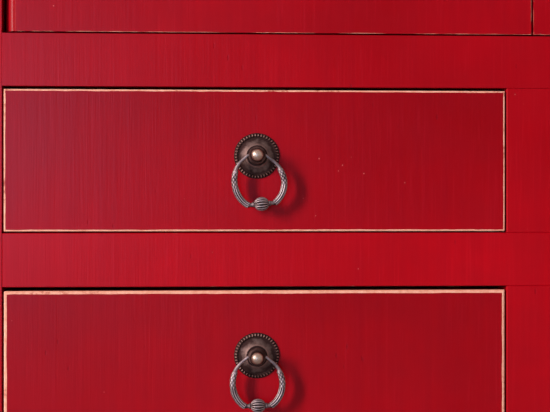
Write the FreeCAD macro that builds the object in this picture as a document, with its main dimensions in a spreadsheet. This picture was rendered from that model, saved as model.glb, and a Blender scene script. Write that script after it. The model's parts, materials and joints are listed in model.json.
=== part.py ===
import FreeCAD, Part
import math
import os
from types import SimpleNamespace

import Sketcher

# A red lacquer wedding cabinet: two flush doors over four flush drawers, each with a ring pull.
# X runs to the right, the front faces -Y, Z runs up from the floor; lengths are in millimetres.

SIZES = (
    ("cabinet_height", "1800", "floor to the top surface"),
    ("carcass_width", "1000", "over the posts, left to right"),
    ("carcass_depth", "480", "over the posts, front to rear"),
    ("foot_height", "150", "floor to the bottom rails"),
    ("post_side", "45", "square section of the posts"),
    ("post_round", "4", "rounding of the posts' outer arris"),
    ("rail_height", "45", "face height of the rails"),
    ("drawer_rail_height", "46", "face height of the rail between the rows of drawers"),
    ("rail_thickness", "30", "depth of every rail behind its face"),
    ("tenon_setback", "9", "face of a rail to its tenon"),
    ("tenon_thickness", "12", "thickness of a rail's tenon"),
    ("tenon_length", "20", "length of a rail's tenon"),
    ("tenon_shoulder", "6", "shoulder above and below a tenon"),
    ("top_overhang", "25", "top frame past the posts, all round"),
    ("top_thickness", "32", "thickness of the top frame"),
    ("top_lip", "9", "upright band at the top of the moulding"),
    ("top_quirk", "2", "step under the upright band"),
    ("top_cove", "14", "how far the moulding draws in"),
    ("top_panel_thickness", "14", "thickness of the floating top panel"),
    ("top_tongue", "6", "thickness of the panels' tongues"),
    ("top_batten_width", "40", "width of the battens under the top panel"),
    ("post_tenon_side", "22", "square tenon on top of a post"),
    ("post_tenon_height", "16", "height of that tenon"),
    ("panel_setback", "10", "outer face of the frame to the panel"),
    ("panel_thickness", "10", "side and rear panels"),
    ("panel_entry", "7", "panel edge let into its groove"),
    ("panel_play", "1", "free room at the bottom of a groove"),
    ("upper_opening_height", "125", "opening of an upper drawer, between the rails"),
    ("lower_opening_height", "124", "opening of a lower drawer, between the rails"),
    ("muntin_width", "45", "between the two columns of drawers"),
    ("muntin_tenon", "10", "length of a muntin's tenon"),
    ("floor_thickness", "12", "cabinet floor board"),
    ("floor_drop", "6", "floor board below the rail's top edge"),
    ("shelf_height", "1124", "floor to the top of the shelf"),
    ("shelf_thickness", "14", "shelf board"),
    ("shelf_play", "0.3", "shelf to the panels beside it"),
    ("cleat_height", "22", "strip under the shelf's ends"),
    ("runner_width", "22", "part of a runner under a drawer's side"),
    ("runner_height", "20", "depth of a runner"),
    ("guide_height", "25", "upright guide beside a drawer"),
    ("stop_length", "15", "stop block behind a drawer"),
    ("stop_height", "14", "height of that block"),
    ("apron_drop", "78", "apron from the bottom rail to its lowest point"),
    ("apron_thickness", "18", "apron board"),
    ("apron_setback", "4", "face of the posts to the apron"),
    ("drawer_side_gap", "1.5", "drawer front to the opening, left and right"),
    ("upper_top_gap", "2.6", "upper drawer front to the rail above"),
    ("lower_top_gap", "3.4", "lower drawer front to the rail above"),
    ("drawer_bottom_gap", "1.3", "drawer front to the rail below"),
    ("drawer_front_thickness", "20", "drawer front board"),
    ("drawer_rear_room", "50", "rear of a drawer to the rear rails"),
    ("drawer_board", "12", "thickness of a drawer's sides and back"),
    ("drawer_side_height", "104", "height of a drawer's sides"),
    ("drawer_bottom_thickness", "7", "drawer bottom"),
    ("drawer_bottom_rise", "9", "lower edge of the sides to the bottom"),
    ("drawer_groove", "6", "depth of the grooves for the bottom"),
    ("drawer_lap", "6", "front left uncut before the dovetails"),
    ("tail_flare", "3", "how much a dovetail widens on each side"),
    ("running_gap", "0.3", "drawer to the runner and the stop"),
    ("door_side_gap", "1.5", "door to the post"),
    ("door_meeting_gap", "2", "between the two doors"),
    ("door_top_gap", "2.5", "door to the top rail"),
    ("door_bottom_gap", "1.5", "door to the middle rail"),
    ("door_thickness", "24", "stiles and rails of a door"),
    ("door_member", "60", "width of a door's stiles and rails"),
    ("door_panel_thickness", "14", "flush panel of a door"),
    ("door_tongue", "6", "thickness of that panel's tongue"),
    ("door_batten_width", "32", "battens behind a door's panel"),
    ("pivot_radius", "5", "pivot peg of a door"),
    ("pivot_play", "0.1", "peg to its socket, all round"),
    ("lower_socket", "10", "depth of a door's lower socket"),
    ("upper_socket", "24", "depth of the upper socket, so that the door lifts out"),
    ("upper_peg", "13", "length of the upper peg"),
    ("stop_strip_height", "12", "door stop under the top rail"),
    ("stop_strip_depth", "16", "front to rear of that stop"),
    ("moon_radius", "120", "radius of the round plate across both doors"),
    ("moon_thickness", "1.5", "sheet of the plate"),
    ("door_pull_spread", "45", "middle of the doors to a door's pull"),
    ("pull_rise", "4", "pull above the middle of a drawer front"),
    ("rosette_radius", "19.6", "milled plate behind a ring"),
    ("rosette_height", "5.2", "highest point of that plate"),
    ("boss_radius", "7.5", "round body that carries the ring"),
    ("boss_height", "12", "mount face to the front of the boss"),
    ("knob_radius", "5.6", "ball on the boss"),
    ("knob_height", "22", "mount face to the front of the ball"),
    ("shank_side", "4", "square shank through the wood"),
    ("prong_length", "14", "prong clenched behind the wood"),
    ("ring_pivot", "9.6", "mount face to the ring's pivot"),
    ("ring_radius", "24.2", "outer radius of the ring"),
    ("ring_drop", "23.2", "pivot to the middle of the ring"),
    ("ring_wire", "1.25", "radius of the wire through the boss"),
    ("ring_body", "2.85", "radius of the ring's thick part"),
    ("wire_play", "0.08", "that wire to its bore, all round"),
    ("bead_radius", "5.85", "ribbed bead at the bottom of the ring"),
    ("bead_half_length", "6.4", "half the length of that bead"),
    ("bead_neck", "1.8", "radius of the necks beside the bead"),
)


class Size:
    """A length: its value, and the expression that gives it in the document."""

    def __init__(self, value, text):
        self.value = value
        self.text = text

    def __add__(self, other):
        return Size(self.value + value_of(other), "(%s + %s)" % (self.text, text_of(other)))

    def __sub__(self, other):
        return Size(self.value - value_of(other), "(%s - %s)" % (self.text, text_of(other)))

    def __rsub__(self, other):
        return Size(value_of(other) - self.value, "(%s - %s)" % (text_of(other), self.text))

    def __mul__(self, share):
        return Size(self.value * share, "(%s * %s)" % (self.text, text_of(share)))

    def __truediv__(self, parts):
        return Size(self.value / parts, "(%s / %s)" % (self.text, text_of(parts)))

    def __neg__(self):
        return self * -1

    __radd__ = __add__
    __rmul__ = __mul__


def value_of(term):
    return term.value if isinstance(term, Size) else term


def text_of(term):
    return term.text if isinstance(term, Size) else repr(term)


doc = FreeCAD.newDocument("WeddingCabinet")
sheet = doc.addObject("Spreadsheet::Sheet", "Sizes")
for row, (alias, number, note) in enumerate(SIZES, 1):
    sheet.set("A%d" % row, alias)
    sheet.set("B%d" % row, number)
    sheet.setAlias("B%d" % row, alias)
    sheet.set("C%d" % row, note)
doc.recompute()
size = SimpleNamespace(**{alias: Size(float(sheet.get(alias)), "Sizes." + alias) for alias, _, _ in SIZES})
nodes = []


# Building blocks
def bind(item, name, term):
    if isinstance(term, Size):
        item.setExpression(name, term.text)


def move(item, x=0, y=0, z=0):
    for axis, term in zip("xyz", (x, y, z)):
        bind(item, "Placement.Base." + axis, term)
    return item


def named(kind, name):
    item = doc.addObject(kind, name)
    item.Label = name
    return item


def box(name, across, deep, high):
    item = named("Part::Box", name)
    for side, (start, end) in zip(("Length", "Width", "Height"), (across, deep, high)):
        bind(item, side, end - start)
    return move(item, across[0], deep[0], high[0])


def fuse(name, items):
    item = named("Part::MultiFuse", name)
    item.Shapes = items
    item.Refine = True
    return item


def cut(name, base, tools):
    item = named("Part::Cut", name)
    item.Base = base
    item.Tool = tools[0] if len(tools) == 1 else fuse(name + "_tools", tools)
    item.Refine = True
    return item


def group(name, items):
    item = named("Part::Compound", name)
    item.Links = items
    return item


def node(item):
    nodes.append(item)
    return item


def both(start, end):
    return (-end, -start)


def on_side(side, near, far):
    return (near, far) if side > 0 else both(near, far)


def origin_plane(body, role):
    return next(feature for feature in body.Origin.OriginFeatures if feature.Role == role)


def hold(sketch, geometry, vertex, across, up):
    for kind, term, axis in (("DistanceX", across, -2), ("DistanceY", up, -1)):
        if isinstance(term, Size):
            spot = sketch.addConstraint(Sketcher.Constraint(kind, -1, 1, geometry, vertex, term.value))
            sketch.setExpression("Constraints[%d]" % spot, term.text)
        else:
            sketch.addConstraint(Sketcher.Constraint("PointOnObject", geometry, vertex, axis))


def arc_edge(start, through, end):
    circle = Part.Arc(start, through, end).toShape().Curve
    middle = circle.Center
    first = math.atan2(start.y - middle.y, start.x - middle.x)
    last = math.atan2(end.y - middle.y, end.x - middle.x)
    turn = (through - start).cross(end - through).z
    if turn < 0:
        first, last = last, first
    if last < first:
        last += math.tau
    upright = FreeCAD.Vector(0, 0, 1)
    edge = Part.ArcOfCircle(Part.Circle(middle, upright, circle.Radius), first, last)
    return edge, turn < 0


def outline(body, name, plane, points):
    """A closed sketch: each point is (across, up), or (across, up, across, up) where an arc through
    the second pair leads to the next point."""
    sketch = body.newObject("Sketcher::SketchObject", name)
    sketch.AttachmentSupport = [(origin_plane(body, plane), "")]
    sketch.MapMode = "FlatFace"
    spots = [FreeCAD.Vector(value_of(point[0]), value_of(point[1]), 0) for point in points]
    edges = []
    for number, point in enumerate(points):
        start, end = spots[number], spots[(number + 1) % len(points)]
        if len(point) == 2:
            edges.append((sketch.addGeometry(Part.LineSegment(start, end)), 1, 2))
        else:
            through = FreeCAD.Vector(value_of(point[2]), value_of(point[3]), 0)
            edge, backwards = arc_edge(start, through, end)
            index = sketch.addGeometry(edge)
            edges.append((index, 2, 1) if backwards else (index, 1, 2))
    for number, (index, start, end) in enumerate(edges):
        after, after_start, _ = edges[(number + 1) % len(edges)]
        sketch.addConstraint(Sketcher.Constraint("Coincident", index, end, after, after_start))
        point = points[number]
        hold(sketch, index, start, point[0], point[1])
        if len(point) == 4:
            mark = sketch.addGeometry(Part.Point(FreeCAD.Vector(value_of(point[2]), value_of(point[3]), 0)), True)
            hold(sketch, mark, 1, point[2], point[3])
            sketch.addConstraint(Sketcher.Constraint("PointOnObject", mark, 1, index))
    return sketch


def padded(name, plane, points, length):
    """A body made of one outline: XY_Plane pads along +Z, XZ_Plane along -Y, YZ_Plane along +X."""
    body = named("PartDesign::Body", name)
    sketch = outline(body, name + "_outline", plane, points)
    pad = body.newObject("PartDesign::Pad", name + "_pad")
    pad.Profile = sketch
    bind(pad, "Length", length)
    return body


def mirrored(half):
    """The whole of an outline whose right half runs from its middle line to its last point."""
    back = []
    for number in range(len(half) - 1, 0, -1):
        point = (-half[number][0], half[number][1])
        through = half[number - 1][2:]
        back.append(point + ((-through[0], through[1]) if through else ()))
    return half + back


def polygon(name, sides, radius, axis, turn, x=0, y=0, z=0):
    item = named("Part::RegularPolygon", name)
    item.Polygon = sides
    bind(item, "Circumradius", radius)
    item.Placement = FreeCAD.Placement(FreeCAD.Vector(), FreeCAD.Rotation(axis, turn))
    return move(item, x, y, z)


def loft(name, sections):
    """A solid through polygons, with flat faces between them."""
    item = named("Part::Loft", name)
    item.Sections = sections
    item.Solid = True
    item.Ruled = True
    item.Linearize = True
    return item


def flat_faces(corners):
    return [Part.Face(Part.makePolygon([*trio, trio[0]])) for trio in corners]


def faceted(name, rings):
    """A solid of flat triangles through rings of points that turn as they go, capped at both ends."""
    trios = []
    for ring, after in zip(rings, rings[1:]):
        for number, point in enumerate(ring):
            other = (number + 1) % len(ring)
            trios.append((point, ring[other], after[other]))
            trios.append((point, after[other], after[number]))
    faces = flat_faces(trios)
    faces += [Part.Face(Part.makePolygon([*ring, ring[0]])) for ring in (rings[0], rings[-1])]
    solid = Part.Solid(Part.makeShell(faces))
    solid.fix(solid.getTolerance(0), solid.getTolerance(0), solid.getTolerance(1))
    if solid.Volume < 0:
        solid.reverse()
    item = named("Part::Feature", name)
    item.Shape = solid
    item.Placement = FreeCAD.Placement()
    return item


def ring_of_points(count, radius, middle, normal_angle):
    """Corners of a regular section in the plane that holds Y, its normal turned from X towards -Z."""
    lean = math.radians(normal_angle)
    out = FreeCAD.Vector(math.sin(lean), 0, math.cos(lean))
    along = FreeCAD.Vector(0, 1, 0)
    points = []
    for number in range(count):
        turn = math.tau * (number + 0.5) / count
        points.append(middle + out * (radius * math.cos(turn)) + along * (radius * math.sin(turn)))
    return points


# Levels and faces shared by the pieces
half_width = size.carcass_width / 2
half_depth = size.carcass_depth / 2
post_inner_x = half_width - size.post_side
post_inner_y = half_depth - size.post_side
rail_inner_x = half_width - size.rail_thickness
rail_inner_y = half_depth - size.rail_thickness
case_top = size.cabinet_height - size.top_thickness
bottom_rail = (size.foot_height, size.foot_height + size.rail_height)
drawer_rail_low = bottom_rail[1] + size.lower_opening_height
drawer_rail = (drawer_rail_low, drawer_rail_low + size.drawer_rail_height)
middle_rail_low = drawer_rail[1] + size.upper_opening_height
middle_rail = (middle_rail_low, middle_rail_low + size.rail_height)
top_rail = (case_top - size.rail_height, case_top)
groove_depth = size.panel_entry + size.panel_play
sides = (("left", -1), ("right", 1))
ends = (("front", -1), ("rear", 1))


def tenon_band(level):
    return (level[0] + size.tenon_shoulder, level[1] - size.tenon_shoulder)


def tenon_slot(outer, end):
    inner = outer - size.tenon_setback - size.tenon_thickness
    return on_side(end, inner, outer - size.tenon_setback)


def cross_rail(name, end, level):
    """A rail between two posts along X, with its tenons: the board and the tenons apart."""
    board = box(name + "_board", both(-post_inner_x, post_inner_x), on_side(end, rail_inner_y, half_depth), level)
    tenons = []
    for label, side in sides:
        reach = on_side(side, post_inner_x, post_inner_x + size.tenon_length)
        tenons.append(box(name + "_tenon_" + label, reach, tenon_slot(half_depth, end), tenon_band(level)))
    return board, tenons


def side_rail(name, side, level):
    """A rail between two posts along Y, with its tenons: the board and the tenons apart."""
    board = box(name + "_board", on_side(side, rail_inner_x, half_width), both(-post_inner_y, post_inner_y), level)
    tenons = []
    for label, end in ends:
        reach = on_side(end, post_inner_y, post_inner_y + size.tenon_length)
        tenons.append(box(name + "_tenon_" + label, tenon_slot(half_width, side), reach, tenon_band(level)))
    return board, tenons


# Side and rear panels, and the grooves that they slide in
panel_face_x = half_width - size.panel_setback
panel_face_y = half_depth - size.panel_setback
panel_back_x = panel_face_x - size.panel_thickness
panel_back_y = panel_face_y - size.panel_thickness
side_fields = {"lower": (bottom_rail[1], middle_rail[0]), "upper": (middle_rail[1], top_rail[0])}
rear_fields = {
    "lower": (bottom_rail[1], drawer_rail[0]),
    "middle": (drawer_rail[1], middle_rail[0]),
    "upper": (middle_rail[1], top_rail[0]),
}


def grown(field, entry):
    return (field[0] - entry, field[1] + entry)


def side_board(name, side, field, entry):
    reach = post_inner_y + entry
    return box(name, on_side(side, panel_back_x, panel_face_x), both(-reach, reach), grown(field, entry))


def rear_board(name, field, entry):
    reach = post_inner_x + entry
    return box(name, both(-reach, reach), (panel_back_y, panel_face_y), grown(field, entry))


side_grooves = {}
for label, side in sides:
    boards = [side_board("side_%s_%s_panel" % (label, key), side, field, size.panel_entry)
              for key, field in side_fields.items()]
    node(group("side_panels_" + label, boards))
    side_grooves[label] = [side_board("side_%s_%s_groove" % (label, key), side, field, groove_depth)
                           for key, field in side_fields.items()]
rear_boards = [rear_board("rear_%s_panel" % key, field, size.panel_entry) for key, field in rear_fields.items()]
node(group("rear_panels", rear_boards))
rear_grooves = [rear_board("rear_%s_groove" % key, field, groove_depth) for key, field in rear_fields.items()]

# Post blanks: the outer arris is rounded, the top carries a square tenon for the top frame
posts = {}
post_tenons = []
arc_middle_share = 1 - math.sqrt(0.5)
for end_label, end in ends:
    for label, side in sides:
        name = "%s_post_%s" % (end_label, label)
        outer = (half_width * side, half_depth * end)
        inner = (post_inner_x * side, post_inner_y * end)
        bend = size.post_round
        lean = bend * arc_middle_share
        points = [
            inner,
            (outer[0], inner[1]),
            (outer[0], outer[1] - bend * end, outer[0] - lean * side, outer[1] - lean * end),
            (outer[0] - bend * side, outer[1]),
            (inner[0], outer[1]),
        ]
        posts[name] = padded(name + "_blank", "XY_Plane", points, case_top)
        margin = (size.post_side - size.post_tenon_side) / 2
        across = on_side(side, post_inner_x + margin, half_width - margin)
        deep = on_side(end, post_inner_y + margin, half_depth - margin)
        post_tenons.append(box(name + "_top_tenon", across, deep, (case_top, case_top + size.post_tenon_height)))

# Cabinet floor, let into the middle rails and notched round the posts
floor_top = middle_rail[1] - size.floor_drop
floor_band = (floor_top - size.floor_thickness, floor_top)


def floor_board(name, entry):
    across = rail_inner_x + entry
    deep = rail_inner_y + entry
    return box(name, both(-across, across), both(-deep, deep), floor_band)


node(cut("cabinet_floor", floor_board("floor_board", size.panel_entry), list(posts.values())))
floor_groove = floor_board("floor_groove", groove_depth)

# Doors: the outer stile is rounded about its pivot, and its pegs turn in the rails
door_low = middle_rail[1] + size.door_bottom_gap
door_high = top_rail[0] - size.door_top_gap
door_outer = post_inner_x - size.door_side_gap
door_inner = size.door_meeting_gap / 2
door_front = -half_depth
door_back = door_front + size.door_thickness
pivot_x = door_outer - size.door_thickness / 2
pivot_y = door_front + size.door_thickness / 2
stile_inner = door_outer - size.door_member
stile_meeting = door_inner + size.door_member
door_field = (door_low + size.door_member, door_high - size.door_member)
door_middle = (door_low + door_high) / 2
peg_low = middle_rail[1] - size.lower_socket + size.running_gap
peg_high = door_high + size.upper_peg


# Battens behind a door panel, as shares of its height
DOOR_BATTEN_SHARES = (0.2, 0.5, 0.8)
PEG_SIDES = 12
SOCKET_SIDES = 16
socket_corner = (size.pivot_radius + size.pivot_play) / math.cos(math.pi / SOCKET_SIDES)


def flat_sided(name, count, side, radius, low, high):
    """A cut peg, or its socket, about a door's pivot."""
    item = named("Part::Prism", name)
    item.Polygon = count
    bind(item, "Circumradius", radius)
    bind(item, "Height", high - low)
    return move(item, pivot_x * side, pivot_y, low)


lower_sockets = []
upper_sockets = []
for label, side in sides:
    name = "door_" + label
    lower_sockets.append(flat_sided(name + "_lower_socket", SOCKET_SIDES, side, socket_corner,
                                    middle_rail[1] - size.lower_socket, middle_rail[1]))
    upper_sockets.append(flat_sided(name + "_upper_socket", SOCKET_SIDES, side, socket_corner,
                                    top_rail[0], top_rail[0] + size.upper_socket))

    field_face = door_front + size.door_panel_thickness
    tongue = (field_face - size.door_tongue, field_face)
    across = on_side(side, stile_meeting, stile_inner)
    field = box(name + "_field", across, (door_front, field_face), door_field)
    wide = on_side(side, stile_meeting - size.panel_entry, stile_inner + size.panel_entry)
    edge = box(name + "_tongue", wide, tongue, grown(door_field, size.panel_entry))
    board = fuse(name + "_panel_board", [field, edge])
    battens = []
    for share in DOOR_BATTEN_SHARES:
        middle = door_field[0] + (door_field[1] - door_field[0]) * share
        band = (middle - size.door_batten_width / 2, middle + size.door_batten_width / 2)
        battens.append(box("%s_batten_%d" % (name, len(battens)), across, (field_face, door_back), band))
    node(group(name + "_panel", [board] + battens))

    points = [
        (stile_inner * side, door_front),
        (pivot_x * side, door_front, door_outer * side, pivot_y),
        (pivot_x * side, door_back),
        (stile_inner * side, door_back),
    ]
    stile = padded(name + "_outer_blank", "XY_Plane", points, door_high - door_low)
    move(stile, z=door_low)
    pegs = flat_sided(name + "_pegs", PEG_SIDES, side, size.pivot_radius, peg_low, peg_high)
    stile = fuse(name + "_pegged_stile", [stile, pegs])
    inner_stile = box(name + "_inner_blank", on_side(side, door_inner, stile_meeting), (door_front, door_back),
                      (door_low, door_high))
    rails = []
    tenons = []
    slot = (tongue[0], tongue[0] + size.door_tongue)
    for key, level in (("lower", (door_low, door_field[0])), ("upper", (door_field[1], door_high))):
        rail = box("%s_%s_rail_board" % (name, key), across, (door_front, door_back), level)
        reach = on_side(side, stile_meeting - size.tenon_length, stile_inner + size.tenon_length)
        tenon = box("%s_%s_rail_tenons" % (name, key), reach, slot, tenon_band(level))
        tenons.append(tenon)
        rails.append(cut("%s_%s_rail" % (name, key), fuse("%s_%s_tenoned_rail" % (name, key), [rail, tenon]), [board]))
    outer = cut(name + "_outer_stile", stile, tenons + [board])
    shank_gap = size.shank_side / 2
    hole = box(name + "_pull_hole", on_side(side, size.door_pull_spread - shank_gap, size.door_pull_spread + shank_gap),
               (door_front, door_back), (door_middle - shank_gap, door_middle + shank_gap))
    inner = cut(name + "_inner_stile", inner_stile, tenons + [board, hole])
    node(group(name + "_frame", [outer, inner] + rails))

    # Half of the round plate
    reach = size.moon_radius
    chord = size.door_meeting_gap / 2
    points = [
        (chord * side, -reach, reach * side, 0),
        (chord * side, reach),
    ]
    plate = padded(name + "_plate_blank", "XZ_Plane", points, size.moon_thickness)
    move(plate, y=door_front, z=door_middle)
    plate_hole = box(name + "_plate_hole",
                     on_side(side, size.door_pull_spread - shank_gap, size.door_pull_spread + shank_gap),
                     (door_front - size.moon_thickness, door_front),
                     (door_middle - shank_gap, door_middle + shank_gap))
    node(cut(name + "_moon_plate", plate, [plate_hole]))

stop_front = door_back + size.running_gap
door_stop_share = 0.6
strip_reach = post_inner_x * door_stop_share
node(box("door_stop", both(-strip_reach, strip_reach), (stop_front, stop_front + size.stop_strip_depth),
         (top_rail[0] - size.stop_strip_height, top_rail[0])))

# Front and rear rails with muntins between the drawer openings
muntin_half = size.muntin_width / 2
muntin_slot = tenon_slot(half_depth, -1)
muntins = []
muntin_tenons = []
for key, low, high in (("lower", bottom_rail[1], drawer_rail[0]), ("upper", drawer_rail[1], middle_rail[0])):
    board = box(key + "_muntin_board", both(-muntin_half, muntin_half), on_side(-1, rail_inner_y, half_depth),
                (low, high))
    reach = muntin_half - size.tenon_shoulder
    tenon = box(key + "_muntin_tenons", both(-reach, reach), muntin_slot,
                (low - size.muntin_tenon, high + size.muntin_tenon))
    muntin_tenons.append(tenon)
    muntins.append(fuse(key + "_muntin", [board, tenon]))
node(group("drawer_muntins", muntins))

front_tenons = []
front_cuts = {
    "bottom_rail_front": (bottom_rail, muntin_tenons[:1]),
    "drawer_rail_front": (drawer_rail, muntin_tenons),
    "middle_rail_front": (middle_rail, muntin_tenons[1:] + [floor_groove] + lower_sockets),
    "top_rail_front": (top_rail, upper_sockets),
}
for name, (level, tools) in front_cuts.items():
    board, tenons = cross_rail(name, -1, level)
    front_tenons += tenons
    node(cut(name, fuse(name + "_tenoned", [board] + tenons), tools))

rear_tenons = []
rear_rails = []
rear_levels = {"bottom": bottom_rail, "drawer": drawer_rail, "middle": middle_rail, "top": top_rail}
for key, level in rear_levels.items():
    board, tenons = cross_rail("rear_%s_rail" % key, 1, level)
    rear_tenons += tenons
    tools = rear_grooves + ([floor_groove] if key == "middle" else [])
    rear_rails.append(cut("rear_%s_rail" % key, fuse("rear_%s_rail_tenoned" % key, [board] + tenons), tools))
node(group("rear_rails", rear_rails))

side_tenons = {}
for label, side in sides:
    side_tenons[label] = []
    rails = []
    for key, level in (("bottom", bottom_rail), ("middle", middle_rail), ("top", top_rail)):
        name = "side_%s_%s_rail" % (label, key)
        board, tenons = side_rail(name, side, level)
        side_tenons[label] += tenons
        tools = side_grooves[label] + ([floor_groove] if key == "middle" else [])
        rails.append(cut(name, fuse(name + "_tenoned", [board] + tenons), tools))
    node(group("side_rails_" + label, rails))

# Posts with their mortises and grooves
for (name, blank), tenon in zip(posts.items(), post_tenons):
    end_label, _, label = name.split("_")
    tools = list(side_tenons[label]) + side_grooves[label]
    tools += front_tenons if end_label == "front" else rear_tenons + rear_grooves
    node(cut(name, fuse(name + "_tenoned", [blank, tenon]), tools))

# Top: a mitred frame with a moulded edge round a floating panel
top_x = half_width + size.top_overhang
top_y = half_depth + size.top_overhang
cove_middle = size.top_cove / 2
lip_low = size.top_thickness - size.top_lip
panel_low = size.cabinet_height - size.top_panel_thickness
top_field = box("top_field", both(-post_inner_x, post_inner_x), both(-post_inner_y, post_inner_y),
                (panel_low, size.cabinet_height))
wide_x = post_inner_x + size.panel_entry
wide_y = post_inner_y + size.panel_entry
top_edge = box("top_field_tongue", both(-wide_x, wide_x), both(-wide_y, wide_y), (panel_low, panel_low + size.top_tongue))
top_panel = node(fuse("top_panel", [top_field, top_edge]))
battens = []
TOP_BATTEN_SHARES = (-0.4, 0.4)
for share in TOP_BATTEN_SHARES:
    middle = post_inner_x * share
    half = size.top_batten_width / 2
    battens.append(box("top_batten", (middle - half, middle + half), both(-post_inner_y, post_inner_y),
                       (case_top, panel_low)))
node(group("top_battens", battens))


cove_rise_share = 0.28


def moulding(outer, inner, sign):
    """Section of a top frame member: an upright band, a step and a cove drawn in to the underside."""
    return [
        (inner * sign, 0),
        (inner * sign, size.top_thickness),
        (outer * sign, size.top_thickness),
        (outer * sign, lip_low),
        ((outer - size.top_quirk) * sign, lip_low, (outer - cove_middle) * sign, lip_low * cove_rise_share),
        ((outer - size.top_cove) * sign, 0),
    ]


def mitre(corners, name):
    blank = padded(name, "XY_Plane", corners, size.top_thickness)
    return move(blank, z=case_top)


for end_label, end in ends:
    name = "top_frame_" + end_label
    bar = padded(name + "_bar", "YZ_Plane", moulding(top_y, post_inner_y, end), top_x * 2)
    move(bar, x=-top_x, z=case_top)
    corners = [(-top_x, top_y * end), (top_x, top_y * end), (post_inner_x, post_inner_y * end),
               (-post_inner_x, post_inner_y * end)]
    mitred = named("Part::Common", name + "_mitred")
    mitred.Base = bar
    mitred.Tool = mitre(corners, name + "_mitre")
    node(cut(name, mitred, post_tenons + [top_edge]))
for label, side in sides:
    name = "top_frame_" + label
    bar = padded(name + "_bar", "XZ_Plane", moulding(top_x, post_inner_x, side), top_y * 2)
    move(bar, y=top_y, z=case_top)
    corners = [(top_x * side, -top_y), (top_x * side, top_y), (post_inner_x * side, post_inner_y),
               (post_inner_x * side, -post_inner_y)]
    mitred = named("Part::Common", name + "_mitred")
    mitred.Base = bar
    mitred.Tool = mitre(corners, name + "_mitre")
    node(cut(name, mitred, post_tenons + [top_edge]))

# Shelf on its cleats
shelf_x = panel_back_x - size.shelf_play
shelf_y = panel_back_y - size.shelf_play
shelf_low = size.shelf_height - size.shelf_thickness
shelf_board = box("shelf_board", both(-shelf_x, shelf_x), (-post_inner_y, shelf_y), (shelf_low, size.shelf_height))
node(cut("shelf", shelf_board, [posts["rear_post_left"], posts["rear_post_right"]]))
node(group("shelf_cleats", [
    box("cleat_" + label, on_side(side, post_inner_x, panel_back_x), both(-post_inner_y, post_inner_y),
        (shelf_low - size.cleat_height, shelf_low))
    for label, side in sides]))

# Drawer runners with guides and stops
runners = []
drawer_depth = half_depth + rail_inner_y - size.drawer_rear_room
stop_start = drawer_depth - half_depth + size.running_gap
stop_reach = (stop_start, stop_start + size.stop_length)
for key, level in (("lower", bottom_rail[1]), ("upper", drawer_rail[1])):
    band = (level - size.runner_height, level)
    stop_band = (level, level + size.stop_height)
    for label, side in sides:
        name = "%s_runner_%s" % (key, label)
        base = box(name + "_base", on_side(side, post_inner_x - size.runner_width, post_inner_x),
                   both(-rail_inner_y, rail_inner_y), band)
        guide = box(name + "_guide", on_side(side, post_inner_x, rail_inner_x), both(-post_inner_y, post_inner_y),
                    (level - size.runner_height, level + size.guide_height))
        runners += [base, guide]
        runners.append(box(name + "_stop", on_side(side, post_inner_x - size.runner_width, post_inner_x), stop_reach,
                           stop_band))
        runners.append(box(name + "_middle_stop", on_side(side, muntin_half, muntin_half + size.runner_width),
                           stop_reach, stop_band))
    wing = muntin_half + size.runner_width
    base = box(key + "_centre_base", both(-wing, wing), both(-rail_inner_y, rail_inner_y), band)
    guide = box(key + "_centre_guide", both(-muntin_half, muntin_half), both(-rail_inner_y, rail_inner_y),
                (level, level + size.guide_height))
    runners += [base, guide]
node(group("drawer_runners", runners))

# Aprons: half an outline as shares of the half span and of the drop, from the middle outwards
APRON_SHARES = (
    (0.0, 0.56, 0.03, 0.42),
    (0.11, 0.36),
    (0.6, 0.36, 0.665, 0.395),
    (0.7, 0.53, 0.83, 0.53),
    (0.93, 1.0),
    (1.0, 1.0),
    (1.0, 0.0),
)


def apron_outline(half_span, top):
    def spot(across_share, drop_share):
        across = half_span * across_share if across_share else 0
        return (across, top - size.apron_drop * drop_share if drop_share else top)

    half = []
    for shares in APRON_SHARES:
        point = spot(*shares[:2])
        half.append(point + spot(*shares[2:]) if len(shares) == 4 else point)
    return mirrored(half)


apron = padded("front_apron", "XZ_Plane", apron_outline(post_inner_x, size.foot_height), size.apron_thickness)
move(apron, y=-half_depth + size.apron_setback + size.apron_thickness)
node(apron)
side_aprons = []
for label, side in sides:
    apron = padded("side_apron_" + label, "YZ_Plane", apron_outline(post_inner_y, size.foot_height),
                   size.apron_thickness)
    move(apron, x=on_side(side, half_width - size.apron_setback - size.apron_thickness,
                          half_width - size.apron_setback)[0])
    side_aprons.append(apron)
node(group("side_aprons", side_aprons))

# One drawer, drawn round the middle of the lower edge of its opening, with its face at zero depth
opening_width = post_inner_x - muntin_half
drawer_half = opening_width / 2 - size.drawer_side_gap
back_face = drawer_depth - size.drawer_board
side_low = size.running_gap
side_high = side_low + size.drawer_side_height
bottom_low = side_low + size.drawer_bottom_rise
bottom_high = bottom_low + size.drawer_bottom_thickness
TAIL_SHARES = ((0.26, 0.5), (0.66, 0.9))


def tails(edge, tip, rising):
    """The dovetails at one end of a drawer side, as points from the bottom up or from the top down."""
    points = []
    for low_share, high_share in TAIL_SHARES:
        low = side_low + size.drawer_side_height * low_share
        high = side_low + size.drawer_side_height * high_share
        points += [(edge, low), (tip, low - size.tail_flare), (tip, high + size.tail_flare), (edge, high)]
    return points if rising else points[::-1]


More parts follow.
